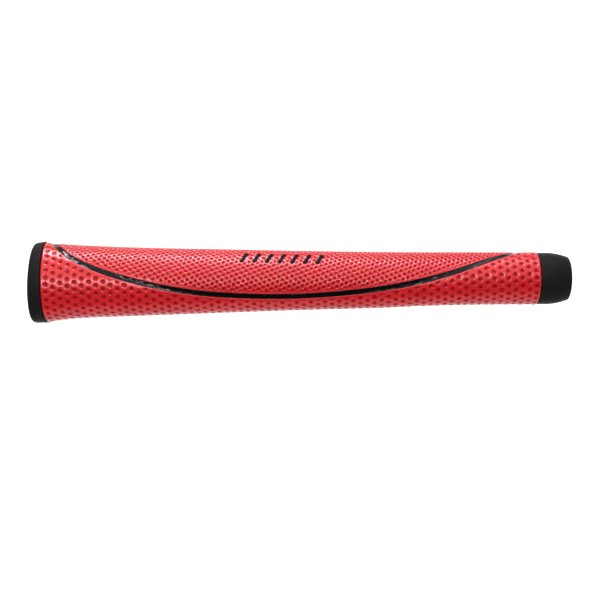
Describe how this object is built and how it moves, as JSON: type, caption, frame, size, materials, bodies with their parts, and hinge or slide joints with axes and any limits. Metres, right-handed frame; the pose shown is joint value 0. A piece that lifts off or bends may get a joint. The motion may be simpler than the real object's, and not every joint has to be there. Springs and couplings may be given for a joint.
{
  "type": "golf putter grip",
  "caption": "Mid-size putter grip: dimpled skins joined along an inlaid stripe, over foam and a rubber sleeve, with a butt cap and a nose collar.",
  "frame": {"origin": "centre of the shaft bore's mouth, on the nose end's face", "axes": "+X along the shaft bore, out of the mouth and towards the club's head; +Z towards the front of the grip, where the thumbs lie; Y across it"},
  "size_m": [0.2667, 0.0376, 0.0407],
  "materials": {
    "red_skin": "soft tacky polyurethane with a light gloss, dimpled",
    "black_gloss": "glossy poured polyurethane",
    "black_rubber": "matte moulded rubber",
    "sleeve_rubber": "matte, ground",
    "foam": "closed-cell foam, matte",
    "felt": "needled felt"
  },
  "bodies": {
    "root": {"underlisting_sleeve": "sleeve_rubber", "foam_core": "foam", "face_felt": "felt", "back_felt": "felt", "face_panel": "red_skin", "back_panel": "red_skin", "pinstripe_bead": "black_gloss", "mark_inlays": "black_gloss", "nose_collar": "black_rubber", "butt_cap": "black_rubber"}
  },
  "joints": []
}
